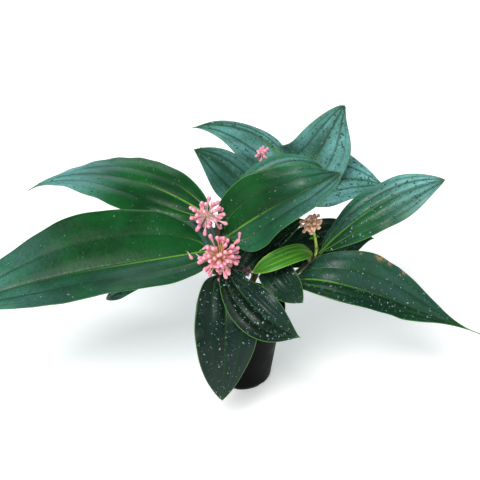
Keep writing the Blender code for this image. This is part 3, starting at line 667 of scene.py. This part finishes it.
def makeLeaf(name, leaf, number):
    # the upper side, a lower side that lies under it by the thickness, and a strip that joins their edges
    leaf["seed"] = 100 + number
    length = leafLength(leaf)
    petiole = leafBuild["petioleLength"] / length
    even = np.linspace(0.0, 1.0, leafBuild["rows"])
    spaced = 0.6 * even + 0.2 * (1 - np.cos(np.pi * even))
    shares = np.concatenate([[0.0, 0.5 * petiole], petiole + (1 - petiole) * spaced])
    steps = np.linspace(-1.0, 1.0, leafBuild["columns"])
    across = 0.75 * steps + 0.25 * np.sign(steps) * np.abs(steps) ** 2.2
    top, up, half, slant = bladeSurface(leaf, shares, across)
    fields = leafFields(leaf, shares, across, half, slant, length)
    thin, thick = leafBuild["bladeThickness"], leafBuild["petioleThickness"]
    rib = thin + (thick - thin) * (1 - shares[:, None]) ** 1.5
    nearBase = np.where(shares[:, None] < petiole * 1.6, 1.6, 1.0)
    stout = np.exp(-((half * across / np.maximum(0.55 * rib, 1e-5)) ** 2)) * nearBase
    depth = thin + (rib - thin) * np.minimum(stout, 1.0)
    depth = depth * (1.0 - 0.45 * np.abs(across[None, :]) ** 6)
    bottom = top - up[:, None, :] * depth[..., None]
    rows, columns = half.shape
    count = rows * columns
    faces = gridFaces(rows, columns)
    faces += [f[::-1] for f in gridFaces(rows, columns, count)]
    rim = np.concatenate([
        np.arange(columns),
        np.arange(1, rows) * columns + columns - 1,
        (rows - 1) * columns + np.arange(columns - 2, -1, -1),
        np.arange(rows - 2, 0, -1) * columns,
    ])
    after = np.roll(rim, -1)
    faces += np.stack([after, rim, rim + count, after + count], axis=1).tolist()
    both = {key: np.concatenate([value.ravel(), value.ravel()]) for key, value in fields.items()}
    both["under"] = np.concatenate([np.zeros(count), np.ones(count)])
    both["scorch"][count:] *= 0.5
    material = youngGreen if leaf.get("young") else leafGreen
    points = np.concatenate([top.reshape(-1, 3), bottom.reshape(-1, 3)])
    piece = addPiece(name + "_detail", points, faces, material, both)
    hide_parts(name)
    leafTops[name] = (top, up, bladeFullness(leaf, shares))


for number, (name, leaf) in enumerate(leaves.items()):
    makeLeaf(name, leaf, number)
print("leaves made:", len(leaves))


# stems: tubes with swollen rings where leaves were, a stub to each petiole and stalk, and a rounded tip

def makeStem(name):
    # a tapered tube with a bell-shaped swelling at even steps and a tip that closes as a root
    route = stems[name]["route"]
    shares = np.linspace(0.0, 1.0, stemLook["steps"])
    path = smoothRoute(route, shares)
    apart = np.abs((shares / stemLook["nodeEvery"] + 0.4) % 1.0 - 0.5) * stemLook["nodeEvery"]
    swell = stemLook["nodeSwell"] * np.exp(-((apart / 0.012) ** 2))
    rounded = np.sqrt(np.clip((1.0 - shares) / 0.015, 0.02, 1.0))
    parts = [closedTube(path, (stemRadius(name, shares) + swell) * rounded, stemLook["sides"])]
    grown = [(leaf, True) for leaf in leaves.values()] + [(spray, False) for spray in sprays.values()]
    for growth, isLeaf in grown:
        if growth["stem"] != name:
            continue
        middle, way = outgrowthRoute(name, growth["at"], growth["route"])
        near, far = smoothRoute(way, [0.0, 0.03])
        toward = unitVector(far - near)
        radius = leafBuild["petioleThickness"] / 2 if isLeaf else growth["stalk"]
        drop = leafFrame(growth, np.array([0.0]))[2][0] * radius if isLeaf else np.zeros(3)
        end = near - toward * 0.0002 - drop
        stubPath = smoothRoute([middle, end - toward * stemLook["stub"] / 2, end], np.linspace(0, 1, 9))
        collar = radius * (1.0 + 0.35 * (1 - np.linspace(0, 1, 9)) ** 2)
        parts.append(closedTube(stubPath, collar, 14))
    piece = addPiece(f"stem_{name}_detail", *joinParts(parts), stemBark)
    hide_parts(f"stem_{name}")


for name in stems:
    makeStem(name)
print("stems made:", len(stems))


# sprays: a stalk, a knob and buds on pedicels, each bud a turned club with its calyx rim and a blunt tip

budLook = {"sides": 11, "pedicel": 0.0006}
# the bud's outline: shares of its length beside its radius, as a share of the greatest
budOutline = np.array([
    (0.00, 0.26), (0.10, 0.36), (0.22, 0.50), (0.34, 0.64), (0.40, 0.72), (0.43, 0.70), (0.52, 0.84),
    (0.62, 0.97), (0.72, 1.00), (0.82, 0.92), (0.90, 0.74), (0.96, 0.48), (1.00, 0.16),
])


def budWays(spray, incoming):
    # a golden spiral over the ball, leaving out a cone where the stalk comes in, with seeded unevenness
    draw = np.random.default_rng(spray["seed"])
    index = np.arange(spray["count"])
    level = 1.0 - 1.72 * (index + 0.5) / spray["count"]
    turn = index * math.pi * (3.0 - math.sqrt(5.0))
    ring = np.sqrt(1.0 - level**2)
    local = np.stack([ring * np.cos(turn), ring * np.sin(turn), level], axis=1)
    local = unitVector(local + draw.normal(0.0, 0.10, local.shape))
    low, high = spray["reach"]
    reach = draw.uniform(low, high, spray["count"])
    aside = unitVector(np.cross(incoming, (0.31, 0.52, 0.79)))
    return local @ np.stack([aside, np.cross(incoming, aside), incoming]), reach


def makeBud(heart, way, reach, bud, sag, sides):
    # the pedicel bends a little, then the bud follows the outline; gives the tube and its budAlong
    length, radius = bud
    neck = max(reach - length, 0.3 * reach)
    stalkAt = np.linspace(0.0, neck, 6)[:-1]
    budAt = neck + (reach - neck) * budOutline[:, 0]
    at = np.concatenate([stalkAt, budAt])
    radii = np.concatenate([np.full(5, budLook["pedicel"]), radius * budOutline[:, 1]])
    radii[5] = budLook["pedicel"] * 1.25
    path = heart + at[:, None] * way + sag * np.sin(np.pi * at / reach)[:, None]
    share = np.concatenate([0.38 * stalkAt / max(neck, 1e-6), 0.40 + 0.60 * budOutline[:, 0]])
    return closedTube(path, radii, sides), np.repeat(share, sides)


def addBuds(name, parts, shares, material):
    # one piece of stalks and buds, with how far along its bud each point lies
    return addPiece(name, *joinParts(parts), material, {"budAlong": np.concatenate(shares)})


def makeSpray(name, spray, material):
    # a stalk of one radius, a ball at its end, and buds that leave the ball's middle in every drawn direction
    route = outgrowthRoute(spray["stem"], spray["at"], spray["route"])[1]
    path = smoothRoute(route, np.linspace(0, 1, 24))
    parts = [closedTube(path, spray["stalk"], 12)]
    heart = path[-1]
    before, end = smoothRoute(route, np.linspace(0, 1, 6))[-2:]
    incoming = unitVector(end - before)
    polar = np.linspace(0.04, np.pi - 0.04, 12)
    knobPath = heart - incoming * 2.2 * spray["stalk"] * np.cos(polar)[:, None]
    parts.append(closedTube(knobPath, 2.2 * spray["stalk"] * np.sin(polar), 14))
    shares = [np.zeros(len(parts[0][0])), np.full(len(parts[1][0]), 0.1)]
    draw = np.random.default_rng(spray["seed"] + 500)
    ways, reaches = budWays(spray, incoming)
    # more buds than the solid has, shorter ones, that fill the head between the others
    low, high = spray["reach"]
    extra = {"count": spray["extra"], "seed": spray["seed"] + 900, "reach": (0.55 * low + 0.002, 0.85 * high)}
    moreWays, moreReaches = budWays(extra, incoming)
    for way, reach in zip(np.concatenate([ways, moreWays]), np.concatenate([reaches, moreReaches])):
        part, share = makeBud(heart, way, reach, spray["bud"], draw.normal(0.0, 0.0006, 3), budLook["sides"])
        parts.append(part)
        shares.append(share)
    piece = addBuds(name + "_detail", parts, shares, material)
    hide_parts(name)


for name, spray in sprays.items():
    look = {"spray_front": frontBud, "spray_right": peachBud}.get(name, pinkBud)
    makeSpray(name, spray, look)
print("sprays made:", len(sprays))


# the pot: a turned wall with a rolled rim, a drawn-in foot and six arches cut into the foot's edge

pot = {
    "height": 0.110, "rim": 0.058, "band": 0.007, "bodyTop": 0.0545, "base": 0.0405, "foot": 0.038,
    "footHeight": 0.005, "wall": 0.0014, "floor": 0.0020, "sides": 144,
    "arches": 6, "archHigh": 0.0042, "archHalf": 0.13,
}


def wallRadius(height):
    # a straight taper from the base to the rim band
    share = (height - pot["footHeight"]) / (pot["height"] - pot["band"] - pot["footHeight"])
    return pot["base"] + (pot["bodyTop"] - pot["base"]) * share


def makePot():
    # the outline goes from the middle of the floor up the inside, over the rim and down to the foot
    band, wall, rim, height = pot["height"] - pot["band"], pot["wall"], pot["rim"], pot["height"]
    roll = wall / 2
    lip = [
        (rim - roll + roll * math.cos(angle), height - roll + roll * math.sin(angle))
        for angle in np.linspace(np.pi, 0, 7)
    ]
    body = [(wallRadius(h), h) for h in np.linspace(band, pot["footHeight"], 30)]
    profile = [
        (0.0004, pot["floor"]), (0.012, pot["floor"]), (pot["foot"] - wall, pot["floor"]),
        (pot["base"] - wall, pot["footHeight"] + pot["floor"]), (wallRadius(0.05) - wall, 0.05),
        (wallRadius(band) - wall, band), (rim - wall, band + wall), *lip,
        (rim, height - 0.003), (rim, band + 0.0006), (rim - 0.0005, band), (rim - 0.0022, band - 0.0003),
        *body,
        (pot["base"] - 0.0004, pot["footHeight"] - 0.0006), (pot["foot"] + 0.0003, 0.0008),
        (pot["foot"] - 0.0004, 0.0),
        (pot["foot"] - wall, 0.0), (0.012, 0.0), (0.0004, 0.0),
    ]
    profile = np.array(profile)
    turns = 2 * np.pi * np.arange(pot["sides"]) / pot["sides"]
    ring = np.stack([np.cos(turns), np.sin(turns), 0 * turns], axis=-1)
    points = profile[:, None, 0, None] * ring + profile[:, None, 1, None] * np.array([0.0, 0.0, 1.0])
    # arches: the foot's lowest edge lifts where the drain openings are
    apart = np.abs((turns * pot["arches"] / (2 * np.pi) - 0.25 + 0.5) % 1.0 - 0.5) * 2 * np.pi / pot["arches"]
    lift = pot["archHigh"] * np.sqrt(np.clip(1.0 - (apart / pot["archHalf"]) ** 2, 0.0, 1.0))
    low = (profile[:, 1] < 0.0016) & (profile[:, 0] > 0.03)
    points[low, :, 2] = np.maximum(points[low, :, 2], np.minimum(lift, 0.0017)[None, :])
    faces = gridFaces(len(profile), pot["sides"], wrapped=True)
    faces.append(np.arange(pot["sides"])[::-1].tolist())
    faces.append((np.arange(pot["sides"]) + (len(profile) - 1) * pot["sides"]).tolist())
    piece = addPiece("pot_detail", points, [f[::-1] for f in faces], potPlastic)
    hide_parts("pot")


makePot()


# soil: a crumbly top over the plug, with loose crumbs of bark and peat half sunk in it

soil = {"top": 0.096, "crown": 0.004, "sides": 120, "rings": 46, "crumbs": 620}


def soilHeight(x, y):
    # a low dome that falls as a root towards the wall, with two sizes of soft lumps that fade there
    radius = np.hypot(x, y) / (wallRadius(soil["top"]) - pot["wall"])
    place = np.stack([x, y, 0 * x], axis=-1)
    lumps = 0.0011 * wavyField(31, place, 0.012, 14) + 0.0006 * wavyField(32, place, 0.0045, 18)
    dome = soil["crown"] * np.sqrt(np.clip(1 - radius, 0, 1))
    return soil["top"] + dome + lumps * np.clip((1 - radius) * 8, 0, 1) - 0.0003


def makeSoil():
    # rings out to the pot's wall at the soil's own height, then a skirt down the inside to its floor
    turns = 2 * np.pi * np.arange(soil["sides"]) / soil["sides"]
    outer = wallRadius(soil["top"]) - pot["wall"] - 0.0004
    radii = outer * np.linspace(0.012, 1.0, soil["rings"])
    x, y = radii[:, None] * np.cos(turns), radii[:, None] * np.sin(turns)
    top = np.stack([x, y, soilHeight(x, y)], axis=-1)
    wall = pot["wall"] + 0.0004
    sides = [(wallRadius(h) - wall, h) for h in (0.07, 0.04, pot["footHeight"] + pot["floor"] + 0.0004)]
    sides += [(pot["foot"] - wall - 0.0004, pot["floor"] + 0.0004), (0.0008, pot["floor"] + 0.0004)]
    skirt = np.array([[(r * math.cos(t), r * math.sin(t), h) for t in turns] for r, h in sides])
    points = np.concatenate([top, skirt])
    faces = gridFaces(len(points), soil["sides"], wrapped=True)
    faces.append(np.arange(soil["sides"])[::-1].tolist())
    faces.append((np.arange(soil["sides"]) + (len(points) - 1) * soil["sides"]).tolist())
    piece = addPiece("soil_detail", points, [f[::-1] for f in faces], pottingPeat)
    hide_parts("soil")


makeSoil()


def makeCrumbs():
    # small uneven lumps: a cube's corners and face middles pushed to a ball, stretched and turned at random
    draw = np.random.default_rng(77)
    steps = (-1, 0, 1)
    corners = [(a, b, c) for a in steps for b in steps for c in steps if (a, b, c) != (0, 0, 0)]
    corners = np.array(corners, float)
    ball = unitVector(corners)
    quads = []
    for axis in range(3):
        for sign in (-1, 1):
            others = [k for k in range(3) if k != axis]
            for u in (-1, 0):
                for v in (-1, 0):
                    face = []
                    for du, dv in ((0, 0), (1, 0), (1, 1), (0, 1)):
                        corner = np.zeros(3)
                        corner[axis] = sign
                        corner[others[0]], corner[others[1]] = u + du, v + dv
                        face.append(int(np.argmin(np.abs(corners - corner).sum(axis=1))))
                    first, second, _, last = corners[face]
                    normal = np.cross(second - first, last - first)
                    quads.append(face if normal[axis] * sign > 0 else face[::-1])
    parts = []
    outer = wallRadius(soil["top"]) - pot["wall"] - 0.0035
    for _ in range(soil["crumbs"]):
        radius, turn = outer * math.sqrt(draw.uniform(0.0, 1.0)), draw.uniform(0, 2 * math.pi)
        x, y = radius * math.cos(turn), radius * math.sin(turn)
        size = draw.uniform(0.0006, 0.0021) * np.array([1.0, draw.uniform(0.5, 0.9), draw.uniform(0.35, 0.7)])
        axes = unitVector(draw.normal(size=(3, 3)))
        axes[1] = unitVector(axes[1] - (axes[1] @ axes[0]) * axes[0])
        axes[2] = np.cross(axes[0], axes[1])
        lump = (ball * (1 + draw.uniform(-0.18, 0.18, (26, 1))) * size) @ axes
        height = float(soilHeight(np.array([x]), np.array([y]))[0])
        parts.append((lump + (x, y, height + 0.25 * size.min()), quads))
    piece = addPiece("soil_crumbs", *joinParts(parts), pottingPeat)


makeCrumbs()
print("pot and soil made")


# water drops: flattened domes that sit on the leaves' upper sides, more of them where the leaf lies flat

drops = {"count": 4600, "small": 0.00035, "large": 0.0016, "sides": 7, "rings": 2, "flat": 0.50}


def makeDrops():
    # each dome is a half ball pressed to half its height, a little longer one way, on a spot drawn at random
    draw = np.random.default_rng(2024)
    areas = [leafLength(leaf) * sum(leaf["halves"]) * leaf.get("wet", 1.0) for leaf in leaves.values()]
    areas = np.array(areas)
    counts = np.round(drops["count"] * areas / areas.sum()).astype(int)
    polar = np.linspace(0.5 * np.pi, 0.0, drops["rings"] + 1)[:-1]
    turns = 2 * np.pi * np.arange(drops["sides"]) / drops["sides"]
    ring = np.stack([np.cos(turns), np.sin(turns), 0 * turns], -1)
    dome = [math.sin(p) * ring + (0.0, 0.0, math.cos(p) * drops["flat"]) for p in polar]
    dome = np.concatenate([*dome, [[0.0, 0.0, drops["flat"]]]])
    last = drops["rings"] * drops["sides"]
    shell = gridFaces(drops["rings"], drops["sides"], wrapped=True)
    ringStart = last - drops["sides"]
    shell += [[ringStart + k, ringStart + (k + 1) % drops["sides"], last] for k in range(drops["sides"])]
    shell.append(list(range(drops["sides"]))[::-1])
    parts = []
    for name, count in zip(leaves, counts):
        top, up, grown = leafTops[name]
        weight = (grown[:, None] * np.ones(top.shape[1]))[3:-3, 2:-2]
        picks = draw.choice(weight.size, size=count, p=(weight / weight.sum()).ravel())
        row, column = np.unravel_index(picks, weight.shape)
        row, column = row + 3, column + 2
        u, v = draw.uniform(0, 1, (2, count))
        here, below = top[row, column], top[row + 1, column]
        right, across = top[row, column + 1], top[row + 1, column + 1]
        place = (
            here.T * (1 - u) * (1 - v) + below.T * u * (1 - v) + right.T * (1 - u) * v + across.T * u * v
        ).T
        normal = unitVector(np.cross(right - top[row, column - 1], below - top[row - 1, column]))
        normal = normal * np.sign((normal * up[row]).sum(axis=1, keepdims=True))
        aside = unitVector(np.cross(normal, draw.normal(size=(count, 3))))
        third = np.cross(normal, aside)
        size = drops["small"] + (drops["large"] - drops["small"]) * draw.uniform(0, 1, count) ** 2.6
        long = size * draw.uniform(1.0, 1.45, count)
        for k in range(count):
            frameWays = np.stack([aside[k] * long[k], third[k] * size[k], normal[k] * size[k]])
            parts.append((dome @ frameWays + place[k] + normal[k] * 0.0001, shell))
    piece = addPiece("water_drops", *joinParts(parts), waterClear)
    return len(parts)


print("drops made:", makeDrops())


# what the solids leave out: loose buds on the leaves, a dried spray, and bracts on the right spray's stalk

def makeLooseBuds():
    # each lies on a leaf, at a share of its length and a place across, turned its own way along the surface
    spots = [
        ("leaf_left_long", 0.13, -0.10), ("leaf_left_long", 0.09, -0.34), ("leaf_left_long", 0.06, 0.10),
        ("leaf_left_upper", 0.10, -0.30), ("leaf_front_low", 0.14, 0.10), ("leaf_centre", 0.12, 0.42),
    ]
    draw = np.random.default_rng(61)
    parts, shares = [], []
    for name, at, place in spots:
        top, up, _ = leafTops[name]
        row, column = int(at * (len(top) - 1)), int((place + 1) / 2 * (top.shape[1] - 1))
        spot, normal = top[row, column], up[row]
        way = unitVector(np.cross(normal, draw.normal(size=3)))
        heart = spot + normal * 0.0021 - way * 0.005
        part, share = makeBud(heart, way, 0.0125, (0.0100, 0.0025), 0 * way, budLook["sides"])
        parts.append(part)
        shares.append(share)
    piece = addBuds("loose_buds", parts, shares, pinkBud)


spentSpray = {
    "stem": "left", "at": 0.66, "stalk": 0.0009, "count": 16, "extra": 0,
        "reach": (0.005, 0.010), "seed": 3,
    "route": [(-0.012, -0.030, 0.182), (0.008, -0.036, 0.183)], "bud": (0.0045, 0.0012),
}


def makeSpentSpray():
    # a thin stalk and small dry buds, built as the live sprays are, without the ball
    middle = outgrowthRoute(spentSpray["stem"], spentSpray["at"], spentSpray["route"])[0]
    path = smoothRoute([middle, *spentSpray["route"]], np.linspace(0, 1, 20))
    parts = [closedTube(path, spentSpray["stalk"], 10)]
    shares = [np.zeros(len(parts[0][0]))]
    draw = np.random.default_rng(9)
    for way, reach in zip(*budWays(spentSpray, unitVector(path[-1] - path[-2]))):
        part, share = makeBud(path[-1], way, reach, spentSpray["bud"], draw.normal(0, 0.001, 3), 8)
        parts.append(part)
        shares.append(share)
    piece = addBuds("spent_spray", parts, shares, spentBud)


def makeBracts():
    # narrow pointed scales that stand off the right spray's stalk below its buds
    route = outgrowthRoute("right", sprays["spray_right"]["at"], sprays["spray_right"]["route"])[1]
    parts = []
    bracts = (
        (0.66, (-0.75, -0.45, 0.45), 0.010), (0.70, (0.70, -0.50, 0.55), 0.008),
        (0.36, (0.5, -0.7, 0.5), 0.006),
    )
    for at, way, length in bracts:
        root = smoothRoute(route, [at])[0]
        way = unitVector(np.array(way))
        steps = np.linspace(0, 1, 9)
        path = root + steps[:, None] * way * length - np.array([0, 0, 0.003]) * steps[:, None] ** 2
        parts.append(closedTube(path, 0.0016 * np.sin(np.pi * (0.12 + 0.86 * steps)) + 0.0001, 10))
    points, faces = joinParts(parts)
    plain = np.full(len(points), 0.01)
    fields = {"rib": plain, "nerve": plain, "edge": plain}
    piece = addPiece("spray_right_bracts", points, faces, youngGreen, fields)


makeLooseBuds()
makeSpentSpray()
makeBracts()
print("small pieces made")


# floor, light and what lies round the plant

def addStage(name, points, faces, rgb, glow):
    # a matt white sheet that also shines a little, so that the shadows on it stay pale
    material = newMaterial(name, rgb, 0.9, **{"Emission Color": (*rgb, 1.0), "Emission Strength": glow})[0]
    mesh = bpy.data.meshes.new(name)
    mesh.from_pydata(points, [], faces)
    mesh.materials.append(material)
    thing = bpy.data.objects.new(name, mesh)
    bpy.context.scene.collection.objects.link(thing)


floorHalf = 3.0
floorCorners = [(x * floorHalf, y * floorHalf, 0) for x, y in ((-1, -1), (1, -1), (1, 1), (-1, 1))]
addStage("studio_floor", floorCorners, [(0, 1, 2, 3)], (0.90, 0.90, 0.90), 0.40)

lights = {
    "sky": {"place": (0.1, 1.9, 1.5), "size": 1.8, "power": 15.0, "colour": (0.80, 0.95, 1.0)},
    "side": {"place": (-1.5, 0.3, 1.3), "size": 1.0, "power": 5.0, "colour": (0.90, 0.97, 1.0)},
    "fill": {"place": (0.9, -0.7, 0.7), "size": 0.8, "power": 2.0, "colour": (1.0, 0.98, 0.95)},
}
for name, light in lights.items():
    data = bpy.data.lights.new(name, "AREA")
    data.shape = "SQUARE"
    data.size = light["size"]
    data.energy = light["power"]
    data.color = light["colour"]
    lamp = bpy.data.objects.new(name, data)
    bpy.context.scene.collection.objects.link(lamp)
    way = np.array([0.0, 0.0, 0.17]) - np.array(light["place"])
    lamp.location = light["place"]
    lamp.rotation_euler = Vector(way).to_track_quat("-Z", "Y").to_euler()

dayLight = {"way": (0.30, 0.62, -0.80), "strength": 2.75, "spread": 30.0}
data = bpy.data.lights.new("day", "SUN")
data.energy = dayLight["strength"]
data.angle = math.radians(dayLight["spread"])
lamp = bpy.data.objects.new("day", data)
bpy.context.scene.collection.objects.link(lamp)
lamp.rotation_euler = Vector(dayLight["way"]).to_track_quat("-Z", "Y").to_euler()

world = bpy.data.worlds.new("surround")
bpy.context.scene.world = world
world.use_nodes = True
world.node_tree.nodes["Background"].inputs["Color"].default_value = (0.85, 0.93, 1.0, 1.0)
world.node_tree.nodes["Background"].inputs["Strength"].default_value = 0.12
bpy.context.scene.view_settings.view_transform = "Standard"

print("scene ready")
